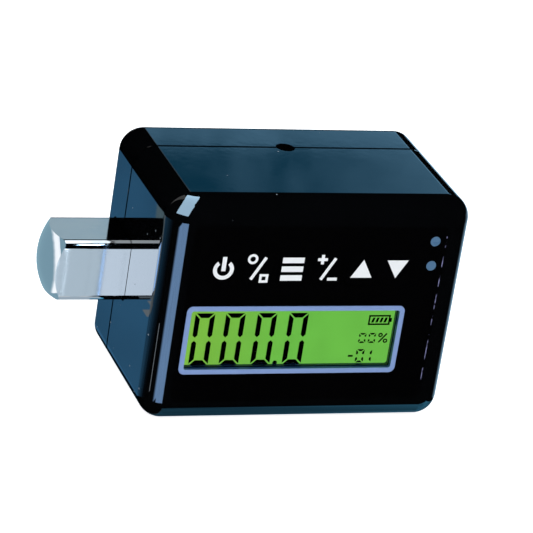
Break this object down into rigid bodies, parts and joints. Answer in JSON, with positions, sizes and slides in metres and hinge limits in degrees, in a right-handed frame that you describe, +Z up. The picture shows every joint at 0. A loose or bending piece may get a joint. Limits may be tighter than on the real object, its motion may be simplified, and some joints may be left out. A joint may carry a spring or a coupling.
{
  "type": "digital torque adapter",
  "caption": "Digital torque adapter: a steel shaft with a male square drive and a square socket runs through a two part black housing with a display, flush keys and signal lights.",
  "frame": {"origin": "on the drive axis, where the male square drive leaves the left face of the housing", "axes": "+X along the drive axis from the male square to the square socket, -Y out of the display face, +Z up"},
  "size_m": [0.0782, 0.0372, 0.0467],
  "materials": {
    "shell": "gloss black moulded plastic",
    "panel": "gloss black panel",
    "key_plastic": "gloss black, flush with the panel",
    "frame": "pale blue silver satin",
    "window": "clear",
    "lcd": "yellow green lit display",
    "light_box": "white diffuser",
    "rubber_strip": "matte",
    "circuit_board": "green solder mask",
    "chip_plastic": "matte black",
    "switch_metal": "satin",
    "light_pipe": "blue grey, unlit",
    "led": "clear resin",
    "cell_foil": "dull foil",
    "foam": "foam",
    "connector_plastic": "natural nylon",
    "lead_insulation": "satin",
    "contact_metal": "plated",
    "flex_tape": "amber film",
    "gauge_foil": "amber film with foil",
    "drive_steel": "polished chrome plate",
    "ball_steel": "polished",
    "spring_steel": "drawn wire",
    "screw_steel": "zinc plated",
    "legend_print": "white print on the keys",
    "lcd_segment": "dark segments of the display"
  },
  "bodies": {
    "housing": {"front_shell": "shell", "rear_shell": "shell", "front_panel": "panel", "display_frame": "frame", "display_window": "window", "lcd_glass": "lcd", "backlight": "light_box", "contact_strip": "rubber_strip", "main_board": "circuit_board", "board_chips": "chip_plastic", "key_switches": "switch_metal", "light_pipes": "light_pipe", "led_chips": "led", "buzzer": "chip_plastic", "battery_cell": "cell_foil", "battery_pad": "foam", "battery_plug": "connector_plastic", "battery_leads": "lead_insulation", "charge_jack": "chip_plastic", "jack_pin": "contact_metal", "charge_leads": "lead_insulation", "flex_connector": "connector_plastic", "gauge_flex": "flex_tape", "strain_gauges": "gauge_foil", "torque_shaft": "drive_steel", "detent_spring": "spring_steel", "case_screws": "screw_steel", "board_screws": "screw_steel"},
    "clear_key": {"clear_key": "key_plastic"},
    "unit_key": {"unit_key": "key_plastic"},
    "mode_key": {"mode_key": "key_plastic"},
    "function_key": {"function_key": "key_plastic"},
    "up_key": {"up_key": "key_plastic"},
    "down_key": {"down_key": "key_plastic"},
    "detent_ball": {"detent_ball": "ball_steel"}
  },
  "joints": [
    {"name": "clear_press", "type": "slide", "parent": "housing", "child": "clear_key", "axis": [0, 1, 0], "range_m": [0, 0.0003], "stiffness_N_per_m": 900},
    {"name": "unit_press", "type": "slide", "parent": "housing", "child": "unit_key", "axis": [0, 1, 0], "range_m": [0, 0.0003], "stiffness_N_per_m": 900},
    {"name": "mode_press", "type": "slide", "parent": "housing", "child": "mode_key", "axis": [0, 1, 0], "range_m": [0, 0.0003], "stiffness_N_per_m": 900},
    {"name": "function_press", "type": "slide", "parent": "housing", "child": "function_key", "axis": [0, 1, 0], "range_m": [0, 0.0003], "stiffness_N_per_m": 900},
    {"name": "up_press", "type": "slide", "parent": "housing", "child": "up_key", "axis": [0, 1, 0], "range_m": [0, 0.0003], "stiffness_N_per_m": 900},
    {"name": "down_press", "type": "slide", "parent": "housing", "child": "down_key", "axis": [0, 1, 0], "range_m": [0, 0.0003], "stiffness_N_per_m": 900},
    {"name": "detent_press", "type": "slide", "parent": "housing", "child": "detent_ball", "axis": [0, 0, 1], "range_m": [0, 0.0009], "stiffness_N_per_m": 1500, "deforming": ["detent_spring"]}
  ]
}
